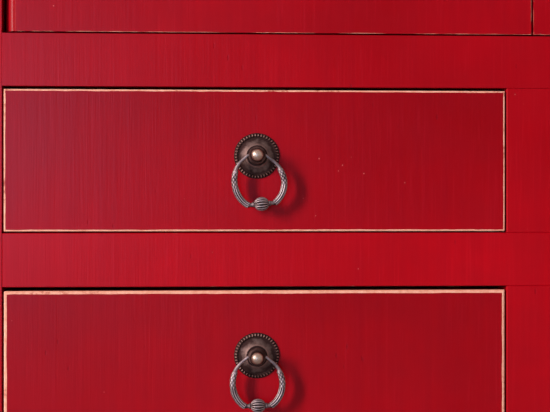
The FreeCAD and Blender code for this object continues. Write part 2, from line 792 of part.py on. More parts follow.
side_points = [(size.drawer_front_thickness, side_low)]
side_points += [(back_face, side_low)]
side_points += tails(back_face, drawer_depth, True)
side_points += [(back_face, side_high), (size.drawer_front_thickness, side_high)]
side_points += tails(size.drawer_front_thickness, size.drawer_lap, False)
bottom_wide = drawer_half - size.drawer_board + size.drawer_groove
bottom_board = box("drawer_bottom", both(-bottom_wide, bottom_wide),
                   (size.drawer_front_thickness - size.drawer_groove, drawer_depth), (bottom_low, bottom_high))
side_boards = []
drawer_sides = []
for label, side in sides:
    board = padded("drawer_side_%s_blank" % label, "YZ_Plane", side_points, size.drawer_board)
    move(board, x=on_side(side, drawer_half - size.drawer_board, drawer_half)[0])
    side_boards.append(board)
    drawer_sides.append(cut("drawer_side_" + label, board, [bottom_board]))
back_board = box("drawer_back_board", both(-drawer_half, drawer_half), (back_face, drawer_depth),
                 (bottom_high, side_high))
drawer_back = cut("drawer_back", back_board, side_boards)
drawer_box = group("drawer_box", drawer_sides + [drawer_back, bottom_board])
shank_half = size.shank_side / 2


def drawer_front(row, front_high):
    """The front of one row's drawers and the height of its pull."""
    pull_high = (size.drawer_bottom_gap + front_high) / 2 + size.pull_rise
    board = box(row + "_front_board", both(-drawer_half, drawer_half), (0, size.drawer_front_thickness),
                (size.drawer_bottom_gap, front_high))
    hole = box(row + "_front_hole", both(-shank_half, shank_half), (0, size.drawer_front_thickness),
               (pull_high - shank_half, pull_high + shank_half))
    return cut(row + "_front", board, side_boards + [bottom_board, hole]), pull_high


drawer_rows = (
    ("upper", drawer_rail[1], size.upper_opening_height - size.upper_top_gap),
    ("lower", bottom_rail[1], size.lower_opening_height - size.lower_top_gap),
)

# One pull, drawn round its mount: a milled rosette, a ball-headed post and a ring with a bead
x_axis = FreeCAD.Vector(1, 0, 0)
y_axis = FreeCAD.Vector(0, 1, 0)
quarter_turn = 90
ROSETTE_SHARES = ((1.0, 0.0), (1.0, 0.2), (0.8, 0.36), (0.54, 0.9), (0.47, 1.0))
BOSS_SHARES = ((1.0, 0.4), (1.0, 0.78), (0.86, 1.0))
KNOB_SHARES = ((0.55, 0.0), (0.93, 0.28), (0.98, 0.55), (0.78, 0.82), (0.3, 1.0))
ROSETTE_SIDES = 24
BOSS_SIDES = 16
KNOB_SIDES = 12


def turned(name, count, rings):
    """A faceted turning about -Y through (radius, depth) rings, with flats to the left and right."""
    upright = FreeCAD.Rotation(x_axis, quarter_turn)
    half_step = FreeCAD.Rotation(FreeCAD.Vector(0, 0, 1), math.degrees(math.pi) / count)
    sections = []
    for number, (radius, depth) in enumerate(rings):
        section = polygon("%s_%d" % (name, number), count, radius, x_axis, quarter_turn)
        section.Placement = FreeCAD.Placement(FreeCAD.Vector(), upright * half_step)
        sections.append(move(section, y=-depth))
    return loft(name, sections)


rosette_rings = [(size.rosette_radius * wide, size.rosette_height * high) for wide, high in ROSETTE_SHARES]
rosette_blank = turned("rosette_blank", ROSETTE_SIDES, rosette_rings)
rosette_hole = box("rosette_hole", both(-shank_half, shank_half), (-size.rosette_height, 0),
                   both(-shank_half, shank_half))
rosette = cut("rosette", rosette_blank, [rosette_hole])


def cross_pin(name, radius, reach):
    item = named("Part::Cylinder", name)
    bind(item, "Radius", radius)
    bind(item, "Height", reach * 2)
    item.Placement = FreeCAD.Placement(FreeCAD.Vector(), FreeCAD.Rotation(y_axis, quarter_turn))
    return move(item, x=-reach)


seat = size.rosette_height * ROSETTE_SHARES[-1][1]
knob_low = size.boss_height
boss_rings = [(size.boss_radius * BOSS_SHARES[0][0], seat)]
boss_rings += [(size.boss_radius * wide, size.boss_height * high) for wide, high in BOSS_SHARES[1:]]
knob_rings = [(size.knob_radius * wide, knob_low + (size.knob_height - knob_low) * high) for wide, high in KNOB_SHARES]


def pull_post(name, grip):
    """Boss and ball with a split shank through the wood, its prongs clenched behind it."""
    boss = turned(name + "_boss", BOSS_SIDES, boss_rings)
    knob = turned(name + "_knob", KNOB_SIDES, knob_rings)
    shank = box(name + "_shank", both(-shank_half, shank_half), (-seat, grip), both(-shank_half, shank_half))
    prongs = box(name + "_prongs", both(-size.prong_length, size.prong_length), (grip, grip + shank_half),
                 both(-shank_half, shank_half))
    whole = fuse(name + "_whole", [boss, knob, shank, prongs])
    bore = cross_pin(name + "_bore", size.ring_wire + size.wire_play, size.boss_radius)
    move(bore, x=-size.boss_radius, y=-size.ring_pivot)
    return cut(name, whole, [bore])


drawer_post = pull_post("drawer_post", size.drawer_front_thickness)
door_post = pull_post("door_post", size.door_thickness + size.moon_thickness)

# The ring: its outer edge is a circle, its wire runs straight through the boss, and it thickens down
# to the horn ends, where a bead closes it.
# Each row is an angle from the top and a share of the thick part's radius.
RING_SHARES = ((31, 0.5), (50, 0.74), (70, 0.96), (90, 1.0), (110, 1.0), (129, 0.98), (148, 0.9))
BEAD_SHARES = ((1.0, 0.32), (0.8, 0.72), (0.36, 1.0))
RING_SIDES = 8


def spot(along, up):
    return FreeCAD.Vector(value_of(along), 0, value_of(up))


arcs = []
for label, side in sides:
    name = "ring_%s_" % label
    start = size.boss_radius
    rings = [ring_of_points(RING_SIDES, size.ring_wire.value, spot(start * side, 0), 0)]
    for angle, share in RING_SHARES:
        lean = math.radians(angle)
        radius = size.ring_body * share
        track = size.ring_radius - radius
        middle = spot(track * (math.sin(lean) * side), track * math.cos(lean) - size.ring_drop)
        rings.append(ring_of_points(RING_SIDES, radius.value, middle, angle * side))
    arcs.append(faceted(name + "horn", rings))
horn_angle, horn_share = RING_SHARES[-1]
horn_track = size.ring_radius - size.ring_body * horn_share
bead_drop = size.ring_drop - horn_track * math.cos(math.radians(horn_angle))
neck_reach = horn_track * math.sin(math.radians(horn_angle))
bead_half = [(neck_reach, size.bead_neck)]
bead_half += [(size.bead_half_length * along, size.bead_radius * wide) for along, wide in BEAD_SHARES]
bead_rows = [(-along, radius) for along, radius in bead_half] + bead_half[::-1]
bead = loft("bead", [polygon("bead_%d" % number, RING_SIDES, radius, y_axis, quarter_turn, x=along, z=-bead_drop)
                     for number, (along, radius) in enumerate(bead_rows)])
ring = fuse("ring", arcs + [cross_pin("ring_wire", size.ring_wire, size.boss_radius), bead])


def placed(name, model, x=0, y=0, z=0):
    return node(move(group(name, [model]), x, y, z))


# Copies in place
for label, side in sides:
    name = "door_" + label
    x = size.door_pull_spread * side
    face = door_front - size.moon_thickness
    placed(name + "_rosette", rosette, x, face, door_middle)
    placed(name + "_pull_post", door_post, x, face, door_middle)
    placed(name + "_ring", ring, x, face - size.ring_pivot, door_middle)
for key, level, front_high in drawer_rows:
    front, pull_high = drawer_front(key, front_high)
    for label, side in sides:
        name = "drawer_%s_%s" % (key, label)
        x = (muntin_half + opening_width / 2) * side
        placed(name + "_front", front, x, -half_depth, level)
        placed(name + "_box", drawer_box, x, -half_depth, level)
        placed(name + "_rosette", rosette, x, -half_depth, level + pull_high)
        placed(name + "_pull_post", drawer_post, x, -half_depth, level + pull_high)
        placed(name + "_ring", ring, x, -half_depth - size.ring_pivot, level + pull_high)

# Check everything before writing
doc.recompute()
faults = [item.Label for item in doc.Objects if "Invalid" in item.State or "Error" in item.State]
if faults:
    raise RuntimeError("failed: " + ", ".join(faults))
for item in nodes:
    if item.Shape.isNull() or not item.Shape.isValid() or not item.Shape.Solids:
        raise RuntimeError("no sound solid in " + item.Label)
os.makedirs("parts", exist_ok=True)
for item in nodes:
    item.Shape.exportStep("parts/%s.step" % item.Label)
print("%d pieces, %d solids" % (len(nodes), sum(len(item.Shape.Solids) for item in nodes)))
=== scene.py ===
import json
import math

import bmesh
import bpy
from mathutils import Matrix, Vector, noise

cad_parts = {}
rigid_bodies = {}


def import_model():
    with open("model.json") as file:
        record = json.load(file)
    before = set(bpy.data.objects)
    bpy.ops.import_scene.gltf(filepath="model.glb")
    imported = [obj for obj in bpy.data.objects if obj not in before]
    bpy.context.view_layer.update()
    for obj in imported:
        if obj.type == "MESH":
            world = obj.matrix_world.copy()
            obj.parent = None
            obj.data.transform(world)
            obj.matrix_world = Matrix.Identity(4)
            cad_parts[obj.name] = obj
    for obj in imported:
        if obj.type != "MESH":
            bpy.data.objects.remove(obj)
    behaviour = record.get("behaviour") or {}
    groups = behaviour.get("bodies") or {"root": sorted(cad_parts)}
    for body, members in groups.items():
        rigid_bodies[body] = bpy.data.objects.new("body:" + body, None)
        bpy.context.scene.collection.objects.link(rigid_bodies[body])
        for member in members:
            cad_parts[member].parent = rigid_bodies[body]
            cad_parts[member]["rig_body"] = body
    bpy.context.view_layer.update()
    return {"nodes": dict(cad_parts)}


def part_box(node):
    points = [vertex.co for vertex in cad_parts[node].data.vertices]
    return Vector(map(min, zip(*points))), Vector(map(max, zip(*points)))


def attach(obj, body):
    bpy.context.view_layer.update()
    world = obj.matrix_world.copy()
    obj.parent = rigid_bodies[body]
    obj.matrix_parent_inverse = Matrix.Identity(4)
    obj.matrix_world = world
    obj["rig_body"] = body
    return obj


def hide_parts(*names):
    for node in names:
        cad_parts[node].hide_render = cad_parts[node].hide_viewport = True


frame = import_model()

MM = 0.001
FULL_TURN = 2 * math.pi
SIDES = (("left", -1), ("right", 1))
DRAWERS = ["drawer_%s_%s" % (row, label) for row in ("upper", "lower") for label, side in SIDES]
DOORS = ["door_" + label for label, side in SIDES]
PULLED = DRAWERS + DOORS
scene = bpy.context.scene


# Materials. Colours are linear.

class Finish:
    """A procedural material, with short names for the nodes it is made of."""

    def __init__(self, name):
        self.data = bpy.data.materials.new(name)
        self.data.use_nodes = True
        self.tree = self.data.node_tree
        self.tree.nodes.clear()
        self.shader = self.tree.nodes.new("ShaderNodeBsdfPrincipled")
        self.output = self.tree.nodes.new("ShaderNodeOutputMaterial")
        self.tree.links.new(self.shader.outputs["BSDF"], self.output.inputs["Surface"])
        self.coords = self.tree.nodes.new("ShaderNodeTexCoord").outputs["Object"]

    def add(self, kind, inputs, **settings):
        item = self.tree.nodes.new(kind)
        for key, value in settings.items():
            setattr(item, key, value)
        self.feed(item, inputs)
        return item

    def feed(self, item, inputs):
        for key, value in inputs.items():
            if isinstance(value, bpy.types.NodeSocket):
                self.tree.links.new(value, item.inputs[key])
            else:
                item.inputs[key].default_value = value

    def stretched(self, scale, offset=(0, 0, 0)):
        inputs = {"Vector": self.coords, "Scale": scale, "Location": offset}
        return self.add("ShaderNodeMapping", inputs).outputs[0]

    def noise(self, coords, scale, detail=3, roughness=0.5, distortion=0):
        inputs = {"Vector": coords, "Scale": scale, "Detail": detail, "Roughness": roughness,
                  "Distortion": distortion}
        return self.add("ShaderNodeTexNoise", inputs).outputs["Fac"]

    def cells(self, coords, scale):
        inputs = {"Vector": coords, "Scale": scale}
        return self.add("ShaderNodeTexVoronoi", inputs).outputs["Distance"]

    def remap(self, value, low, high, to_low=0.0, to_high=1.0):
        inputs = {"Value": value, "From Min": low, "From Max": high, "To Min": to_low, "To Max": to_high}
        return self.add("ShaderNodeMapRange", inputs).outputs[0]

    def calc(self, operation, first, second=0.0):
        return self.add("ShaderNodeMath", {0: first, 1: second}, operation=operation).outputs[0]

    def weigh(self, first, first_share, second, second_share):
        return self.calc("ADD", self.calc("MULTIPLY", first, first_share),
                         self.calc("MULTIPLY", second, second_share))

    def mix(self, share, first, second):
        item = self.tree.nodes.new("ShaderNodeMix")
        item.data_type = "RGBA"
        sockets = {socket.identifier: socket for socket in item.inputs}
        for key, value in (("Factor_Float", share), ("A_Color", first), ("B_Color", second)):
            if isinstance(value, bpy.types.NodeSocket):
                self.tree.links.new(value, sockets[key])
            elif isinstance(value, tuple):
                sockets[key].default_value = (*value, 1)
            else:
                sockets[key].default_value = value
        return [socket for socket in item.outputs if socket.identifier == "Result_Color"][0]

    def attribute(self, name):
        item = self.tree.nodes.new("ShaderNodeAttribute")
        item.attribute_name = name
        return item.outputs["Fac"]

    def bump(self, height, strength, distance):
        inputs = {"Height": height, "Strength": strength, "Distance": distance}
        return self.add("ShaderNodeBump", inputs).outputs["Normal"]


DEEP_RED = (0.285, 0.0004, 0.0030)
FULL_RED = (0.385, 0.0009, 0.0048)
MOTTLE_RED = (0.285, 0.0022, 0.0062)
STREAK_RED = (0.27, 0.0008, 0.0060)
HAIR_RED = (0.42, 0.006, 0.014)
NICK_RED = (0.14, 0.001, 0.005)
FLECK_PINK = (0.62, 0.10, 0.09)
GROUND_DARK = (0.80, 0.275, 0.165)
GROUND_LIGHT = (0.95, 0.445, 0.285)
MOTTLE_SHARE = 0.42
STREAK_SHARE = 0.46
HAIR_SHARE = 0.30
NICK_SHARE = 0.34
FLECK_SHARE = 0.7
NICK_DEPTH = 0.5
SATIN = (0.30, 0.38)
WORN_ROUGHNESS = 0.3
LACQUER_SPECULAR = 0.08
BRUSHED_UP = (1, 1, 0.03)
BRUSHED_BACK = (1, 0.03, 1)


def all_toned(colour, tone):
    return tuple(part * tone for part in colour)


def red_toned(colour, tone):
    return (colour[0] * tone, *colour[1:])


def lacquer_marks(item, coords, scale, size, slow, kept):
    """Small marks at the middle of some cells, kept only where a slow noise is high."""
    mark = item.remap(item.cells(coords, scale), *size, to_low=1, to_high=0)
    return item.calc("MULTIPLY", mark, item.remap(slow, *kept))


def lacquer(name, tone, brush=BRUSHED_UP):
    """Red lacquer over a pale ground: soft blotches, brush marks, small nicks and rubbed edges."""
    item = Finish(name)
    along = item.stretched(brush)
    cloud = item.noise(item.coords, scale=6, detail=4, roughness=0.55)
    mottle = item.noise(item.stretched((1, 1, 1), (1.7, 4.2, 0.6)), scale=30, detail=3, roughness=0.6)
    streak = item.noise(along, scale=130, detail=4, roughness=0.6)
    hair = item.noise(along, scale=620, detail=2, roughness=0.6)
    red = item.mix(item.remap(cloud, 0.3, 0.7), all_toned(DEEP_RED, tone), all_toned(FULL_RED, tone))
    red = item.mix(item.remap(mottle, 0.38, 0.68, to_high=MOTTLE_SHARE), red, red_toned(MOTTLE_RED, tone))
    red = item.mix(item.remap(streak, 0.35, 0.75, to_high=STREAK_SHARE), red, red_toned(STREAK_RED, tone))
    red = item.mix(item.remap(hair, 0.55, 0.75, to_high=HAIR_SHARE), red, red_toned(HAIR_RED, tone))

    nicks = lacquer_marks(item, item.stretched((1, 1, 0.36)), scale=95, size=(0.05, 0.10),
                          slow=item.noise(item.coords, scale=17, detail=1), kept=(0.49, 0.57))
    red = item.mix(item.calc("MULTIPLY", nicks, NICK_SHARE), red, NICK_RED)
    flecks = lacquer_marks(item, item.stretched((1, 1, 1), (0.31, 0.52, 0.17)), scale=85, size=(0.040, 0.058),
                           slow=item.noise(item.coords, scale=9, detail=2), kept=(0.59, 0.63))
    red = item.mix(item.calc("MULTIPLY", flecks, FLECK_SHARE), red, FLECK_PINK)
    # The tone attribute scales the red: each board's tone and, on the drawer fronts, painted shading that is
    # darker towards the top.
    shade = {0: red, "Scale": item.attribute("tone")}
    red = item.add("ShaderNodeVectorMath", shade, operation="SCALE").outputs[0]

    # The edge attribute says where the lacquer is thin; the noises fray the border of what is bare.
    fray = item.noise(item.coords, scale=260, detail=4, roughness=0.65)
    patch = item.noise(item.stretched((1, 1, 1), (3.1, 0.7, 1.9)), scale=14, detail=3, roughness=0.6)
    bare = item.weigh(fray, 0.45, patch, 0.55)
    worn = item.calc("ADD", item.attribute("edge"), item.remap(bare, 0.25, 0.75, -0.4, 0.4))
    worn = item.remap(worn, 0.70, 0.90)
    ground = item.mix(item.remap(fray, 0.35, 0.7), GROUND_DARK, GROUND_LIGHT)

    satin = item.remap(cloud, 0.2, 0.8, *SATIN)
    relief = item.weigh(hair, 0.4, streak, 0.6)
    relief = item.calc("SUBTRACT", relief, item.calc("MULTIPLY", nicks, NICK_DEPTH))
    item.feed(item.shader, {"Base Color": item.mix(worn, red, ground),
                            "Roughness": item.calc("ADD", satin, item.calc("MULTIPLY", worn, WORN_ROUGHNESS)),
                            "Specular IOR Level": LACQUER_SPECULAR,
                            "Normal": item.bump(relief, strength=0.2, distance=0.0010)})
    return item.data


WOOD_LIGHT = (0.42, 0.255, 0.130)
WOOD_DARK = (0.27, 0.145, 0.065)
FIBRE_BROWN = (0.30, 0.17, 0.08)
PORE_BROWN = (0.17, 0.085, 0.038)
HANDLED_BROWN = (0.25, 0.14, 0.07)
GRAIN_X = (0.03, 1, 1)
GRAIN_Y = (1, 0.03, 1)
GRAIN_Z = (1, 1, 0.03)
FACING_SHARE = 0.7
RINGS_PER_NOISE = 9.0
WOOD_ROUGHNESS = (0.55, 0.75)
WOOD_SPECULAR = 0.3


def bare_wood(name, grain, cross=None):
    """Unfinished softwood with growth lines along one axis, dulled by handling.

    With cross, the faces that look to the front or the rear take their grain from there."""
    item = Finish(name)
    along = item.stretched(grain)
    if cross:
        normal = item.tree.nodes.new("ShaderNodeTexCoord").outputs["Normal"]
        facing = item.add("ShaderNodeSeparateXYZ", {0: normal}).outputs["Y"]
        chosen = item.calc("GREATER_THAN", item.calc("ABSOLUTE", facing), FACING_SHARE)
        along = item.mix(chosen, along, item.stretched(cross))
    rings = item.noise(along, scale=26, detail=2, roughness=0.45, distortion=0.1)
    bands = item.calc("PINGPONG", item.calc("MULTIPLY", rings, RINGS_PER_NOISE), 0.5)
    fibre = item.noise(along, scale=520, detail=3, roughness=0.6)
    pore = item.noise(along, scale=170, detail=3, roughness=0.6)
    cloud = item.noise(item.coords, scale=3.5, detail=3)
    wood = item.mix(item.remap(bands, 0.05, 0.5, to_high=0.75), WOOD_LIGHT, WOOD_DARK)
    wood = item.mix(item.remap(fibre, 0.4, 0.7, to_high=0.35), wood, FIBRE_BROWN)
    wood = item.mix(item.remap(pore, 0.58, 0.70, to_high=0.30), wood, PORE_BROWN)
    wood = item.mix(item.remap(cloud, 0.35, 0.75, to_high=0.35), wood, HANDLED_BROWN)
    relief = item.weigh(fibre, 0.6, bands, 0.4)
    item.feed(item.shader, {"Base Color": wood, "Roughness": item.remap(fibre, 0.3, 0.7, *WOOD_ROUGHNESS),
                            "Specular IOR Level": WOOD_SPECULAR,
                            "Normal": item.bump(relief, strength=0.35, distance=0.0008)})
    return item.data


HOLLOW_ROUGHER = 0.16
CREST_SMOOTHER = 0.04


def cast_metal(name, hollow_and_shade, crest_colour, dust, rim, rough, grit=900, uneven=0.22, dusty=0.5):
    """Aged metal: dark in the hollows and in the painted shade round the sides of the balls, rubbed on the
    crests, with a fine uneven skin.
    """
    item = Finish(name)
    cloud = item.noise(item.coords, scale=160, detail=4, roughness=0.6)
    skin = item.noise(item.coords, scale=grit, detail=3, roughness=0.6)
    rubbed = item.calc("ADD", item.attribute("crest"), item.remap(cloud, 0.3, 0.7, -uneven, uneven))
    colour = item.mix(item.remap(rubbed, 0.15, 0.95), hollow_and_shade, crest_colour)
    colour = item.mix(item.remap(cloud, 0.55, 0.8, to_high=dusty), colour, dust)
    item.feed(item.shader, {"Base Color": colour, "Metallic": 1.0, "Specular Tint": (*rim, 1),
                            "Roughness": item.remap(rubbed, 0.1, 1.0, rough + HOLLOW_ROUGHER,
                                                    rough - CREST_SMOOTHER),
                            "Normal": item.bump(item.calc("ADD", skin, cloud), strength=0.25,
                                                distance=0.0003)})
    return item.data


frame_red = lacquer("red_lacquer_frame", tone=1.21)
front_red = lacquer("red_lacquer_fronts", tone=0.99)
door_red = lacquer("red_lacquer_doors", tone=1.06)
top_red = lacquer("red_lacquer_top", tone=1.08, brush=BRUSHED_BACK)
wood_along = {"x": bare_wood("wood_grain_x", GRAIN_X), "y": bare_wood("wood_grain_y", GRAIN_Y),
              "z": bare_wood("wood_grain_z", GRAIN_Z), "box": bare_wood("wood_box", GRAIN_Y, cross=GRAIN_X)}
bronze = cast_metal("dark_bronze_cast", hollow_and_shade=(0.042, 0.018, 0.0155), crest_colour=(0.545, 0.325, 0.275),
                    dust=(0.092, 0.045, 0.036), rim=(0.42, 0.29, 0.25), rough=0.56, uneven=0.12, dusty=0.3)
ring_metal = cast_metal("ring_bronze", hollow_and_shade=(0.024, 0.012, 0.013), crest_colour=(0.45, 0.310, 0.300),
                        dust=(0.13, 0.080, 0.078), rim=(0.45, 0.34, 0.32), rough=0.54)
# On the balls, the dark colour is painted shade round their sides.
ball_brass = cast_metal("ball_brass", hollow_and_shade=(0.034, 0.016, 0.012), crest_colour=(0.44, 0.285, 0.22),
                        dust=(0.22, 0.125, 0.095), rim=(0.22, 0.12, 0.08), rough=0.42)
plate_brass = cast_metal("plate_brass", hollow_and_shade=(0.060, 0.028, 0.012), crest_colour=(0.50, 0.270, 0.105),
                         dust=(0.20, 0.095, 0.036), rim=(0.45, 0.34, 0.32), rough=0.42, grit=500)


# Meshes. Sizes are in millimetres until a point is made.

MERGE_DISTANCE = 0.002
SHARP_ANGLE = math.radians(60)
FLAT_ANGLE = math.radians(0.5)
BOARD_SMOOTHING = 14
CAST_SMOOTHING = 60


def ease(low, high, value):
    share = min(1.0, max(0.0, (value - low) / (high - low)))
    return share * share * (3 - 2 * share)


def packed_copy(node):
    model = bmesh.new()
    model.from_mesh(frame["nodes"][node].data)
    bmesh.ops.remove_doubles(model, verts=model.verts, dist=MERGE_DISTANCE * MM)
    return model


def as_mesh(model, name):
    mesh = bpy.data.meshes.new(name)
    model.to_mesh(mesh)
    model.free()
    return mesh


def finish_piece(name, mesh, material, body, replaced, smoothing):
    mesh.materials.clear()
    mesh.materials.append(material)
    mesh.shade_smooth()
    mesh.set_sharp_from_angle(angle=math.radians(smoothing))
    piece = bpy.data.objects.new(name, mesh)
    scene.collection.objects.link(piece)
    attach(piece, body)
    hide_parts(*replaced)
    return piece


# Lacquered boards

# Some boards' lacquer is scaled a little lighter, some a little darker.
TONES = {"middle_rail_front": 0.93, "drawer_rail_front": 1.05, "front_post_left": 0.98,
         "top_rail_front": 0.97}
RUBBED = 1.0
THIN_EDGE = 0.52
RUB_SEGMENTS = 3
RUB_PROFILE = 0.72
SHORTEST_SPLIT = 4
SPLIT_PER_WIDTH = 2.4
WAVER = 0.3
BROAD_WAVER = 55
FINE_WAVER = 210
FINE_WAVER_SHARE = 0.6
SIDE_SHIFT = 3
TOO_SHORT = 1e-7
FACE_WEIGHT = 100


def is_sharp(edge):
    return len(edge.link_faces) == 2 and edge.calc_face_angle(0) > SHARP_ANGLE and edge.is_convex


def border_direction(vert, flag):
    """From a point on the border of a rubbed edge towards that edge, and the normal of the face beside it."""
    flat = {}
    inward = Vector()
    for face in vert.link_faces:
        if face[flag] == 0:
            flat[tuple(round(part, 2) for part in face.normal)] = face.normal.copy()
        else:
            inward += face.calc_center_median() - vert.co
    if len(flat) != 1:
        return None, None
    normal = list(flat.values())[0]
    inward -= normal * inward.dot(normal)
    along = Vector((1, 0, 0)) if abs(inward.z) > abs(inward.x) else Vector((0, 0, 1))
    inward -= along * inward.dot(along)
    if inward.length < TOO_SHORT:
        return None, None
    return inward.normalized(), normal


def rub_edges(model, flag, chosen, width, seed):
    """Rounds the chosen edges widely, marks the new faces and makes their border waver."""
    length = max(SHORTEST_SPLIT, SPLIT_PER_WIDTH * width) * MM
    for edge in [edge for edge in model.edges if is_sharp(edge) and chosen(edge)]:
        pieces = max(1, int(edge.calc_length() / length))
        if pieces > 1:
            bmesh.ops.subdivide_edges(model, edges=[edge], cuts=pieces - 1)
    picked = [edge for edge in model.edges if is_sharp(edge) and chosen(edge)]
    made = bmesh.ops.bevel(model, geom=picked, offset=width * MM, segments=RUB_SEGMENTS, profile=RUB_PROFILE,
                           affect="EDGES", clamp_overlap=True)
    for face in made["faces"]:
        face[flag] = RUBBED
    border = {vert for face in made["faces"] for vert in face.verts}
    for vert in [vert for vert in model.verts if vert in border]:
        inward, normal = border_direction(vert, flag)
        if inward is None:
            continue
        amount = noise.noise(vert.co * BROAD_WAVER + Vector((seed, normal.y * SIDE_SHIFT, 0)))
        amount += FINE_WAVER_SHARE * noise.noise(vert.co * FINE_WAVER + Vector((0, seed, 0)))
        vert.co -= inward * (amount * WAVER * MM)


def softened(node, material, width, rubbed=None, rub_width=0.0, seed=0.0, glow=0.0):
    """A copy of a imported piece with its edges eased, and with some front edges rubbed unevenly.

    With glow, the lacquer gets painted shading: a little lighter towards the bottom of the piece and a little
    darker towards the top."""
    model = packed_copy(node)
    bmesh.ops.dissolve_limit(model, angle_limit=FLAT_ANGLE, verts=model.verts, edges=model.edges)
    flag = model.faces.layers.float.new("edge")
    if rubbed:
        rub_edges(model, flag, rubbed, rub_width, seed)
    rest = [edge for edge in model.edges if is_sharp(edge)]
    if rest:
        made = bmesh.ops.bevel(model, geom=rest, offset=width * MM, segments=1, profile=0.5,
                               affect="EDGES", clamp_overlap=True)
        for face in made["faces"]:
            if face[flag] == 0:
                face[flag] = THIN_EDGE
    tone = model.verts.layers.float.new("tone")
    low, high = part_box(node)
    # Painted shading on the drawer fronts: the tone falls from the bottom of the piece to its top.
    for vert in model.verts:
        rise = (vert.co.z - low.z) / (high.z - low.z)
        vert[tone] = TONES.get(node, 1.0) * (1 + glow * (1 - 2 * rise))
    name = node + "_finished"
    body = frame["nodes"][node]["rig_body"]
    piece = finish_piece(name, as_mesh(model, name), material, body, [node], BOARD_SMOOTHING)
    weighted = piece.modifiers.new("face_weight", "WEIGHTED_NORMAL")
    weighted.keep_sharp = True
    weighted.weight = FACE_WEIGHT


# Cast pieces

def skinned(rows, around=True, capped=True):
    """Points and faces through rows of equal length; each point carries its crest share."""
    points = [point for row in rows for point in row]
    count = len(rows[0])
    faces = []
    for row in range(len(rows) - 1):
        for place in range(count if around else count - 1):
            after = (place + 1) % count
            faces.append((row * count + place, row * count + after,
                          (row + 1) * count + after, (row + 1) * count + place))
    if capped:
        faces.append(tuple(range(count))[::-1])
        faces.append(tuple((len(rows) - 1) * count + place for place in range(count)))
    return points, faces


def cast_piece(name, skins, origin, material, body, replaced, smoothing=CAST_SMOOTHING):
    """One mesh object from several skins. A point is (x, y, z, crest) in millimetres from origin."""
    model = bmesh.new()
    layer = model.verts.layers.float.new("crest")
    for points, faces in skins:
        verts = []
        for x, y, z, crest in points:
            vert = model.verts.new(Vector((x, y, z)) * MM + Vector(origin))
            vert[layer] = crest
            verts.append(vert)
        for face in faces:
            model.faces.new([verts[index] for index in face])
    bmesh.ops.recalc_face_normals(model, faces=model.faces)
    finish_piece(name, as_mesh(model, name), material, body, replaced, smoothing)


# Rosettes, bosses and balls. A profile's rows are radius, height over the board and crest.

ROSETTE_PROFILE = (
    (19.6, 0.0, 0.0), (19.6, 0.4, 0.0), (19.4, 0.65, 0.05), (19.0, 0.85, 0.1), (18.8, 1.1, 0.4),
    (18.4, 1.5, 0.95), (17.9, 1.95, 1.0), (17.4, 2.35, 0.9), (16.9, 2.5, 0.35), (16.5, 2.1, 0.05),
    (16.2, 1.5, 0.0), (15.8, 1.25, 0.02), (15.4, 1.3, 0.06), (14.9, 1.42, 0.11), (14.1, 1.66, 0.17),
    (13.3, 1.95, 0.21), (12.5, 2.3, 0.25), (11.7, 2.7, 0.28), (11.0, 3.1, 0.3), (10.4, 3.5, 0.33),
    (10.0, 3.85, 0.44), (9.7, 4.25, 0.54), (9.45, 4.65, 0.56), (9.2, 4.92, 0.42), (8.9, 5.05, 0.18),
    (8.5, 5.1, 0.05), (8.2, 5.1, 0.0), (7.6, 5.05, 0.0), (6.6, 5.05, 0.0))
BOSS_PROFILE = (
    (6.4, 5.0, 0.0), (7.1, 5.1, 0.0), (7.5, 5.6, 0.08), (7.62, 6.6, 0.18), (7.62, 8.2, 0.22),
    (7.55, 9.6, 0.26), (7.3, 10.7, 0.28), (6.8, 11.5, 0.24), (6.1, 11.95, 0.15), (5.2, 12.1, 0.08),
    (4.2, 12.1, 0.0), (3.5, 12.15, 0.0))
TICKS = 44
TICK_STEPS = 8
TICK_SHARPNESS = 6.5
TICK_DEPTH = 0.9
TICK_FLOOR = 0.2
BAND_START = (16.1, 16.6)
BAND_END = (18.7, 19.1)
SCALLOP = 0.25
SCALLOP_START = (18.9, 19.5)
DENT = 0.07
DENT_SCALE = 2.3
DENT_STRETCH = 0.16
DENTED_FROM = 7
TURNED_STEPS = 64
BOSS_WOBBLE = 0.12
BALL_WOBBLE = 0.16
WOBBLE_SCALE = 0.35
BALL_RADIUS = 5.6
BALL_CENTRE = 16.4
BALL_START = 12.0
BALL_ROWS = 22
BALL_CREST = 0.95
# Over this range of lift the ball's crest rises from nothing, which paints shade round the sides of the ball.
BALL_PAINTED_SHADE = (0.05, 0.8)
POLE_GAP = 0.02


def rosette_skin():
    rows = []
    steps = TICKS * TICK_STEPS
    for radius, height, crest in ROSETTE_PROFILE:
        band = ease(*BAND_START, radius) * (1 - ease(*BAND_END, radius))
        row = []
        for step in range(steps):
            angle = FULL_TURN * step / steps
            rib = abs(math.sin(angle * TICKS / 2))
            groove = (1 - rib ** TICK_SHARPNESS) * band
            sink = groove * min(TICK_DEPTH, height - TICK_FLOOR)
            wide = radius - SCALLOP * (1 - rib) * ease(*SCALLOP_START, radius)
            spot = Vector((math.cos(angle), math.sin(angle), radius * DENT_STRETCH))
            dent = DENT * noise.noise(spot * DENT_SCALE)
            high = height - sink + (dent if height > 0 and radius > DENTED_FROM else 0)
            row.append((wide * math.cos(angle), -high, wide * math.sin(angle), crest * (1 - groove)))
        rows.append(row)
    return skinned(rows)


def turned_skin(profile, wobble, seed):
    rows = []
    for radius, height, crest in profile:
        row = []
        for step in range(TURNED_STEPS):
            angle = FULL_TURN * step / TURNED_STEPS
            spot = Vector((math.cos(angle) * radius, height, math.sin(angle) * radius))
            wide = radius + wobble * noise.noise(spot * WOBBLE_SCALE + Vector((seed, 0, 0)))
            row.append((wide * math.cos(angle), -height, wide * math.sin(angle), crest))
        rows.append(row)
    return skinned(rows)


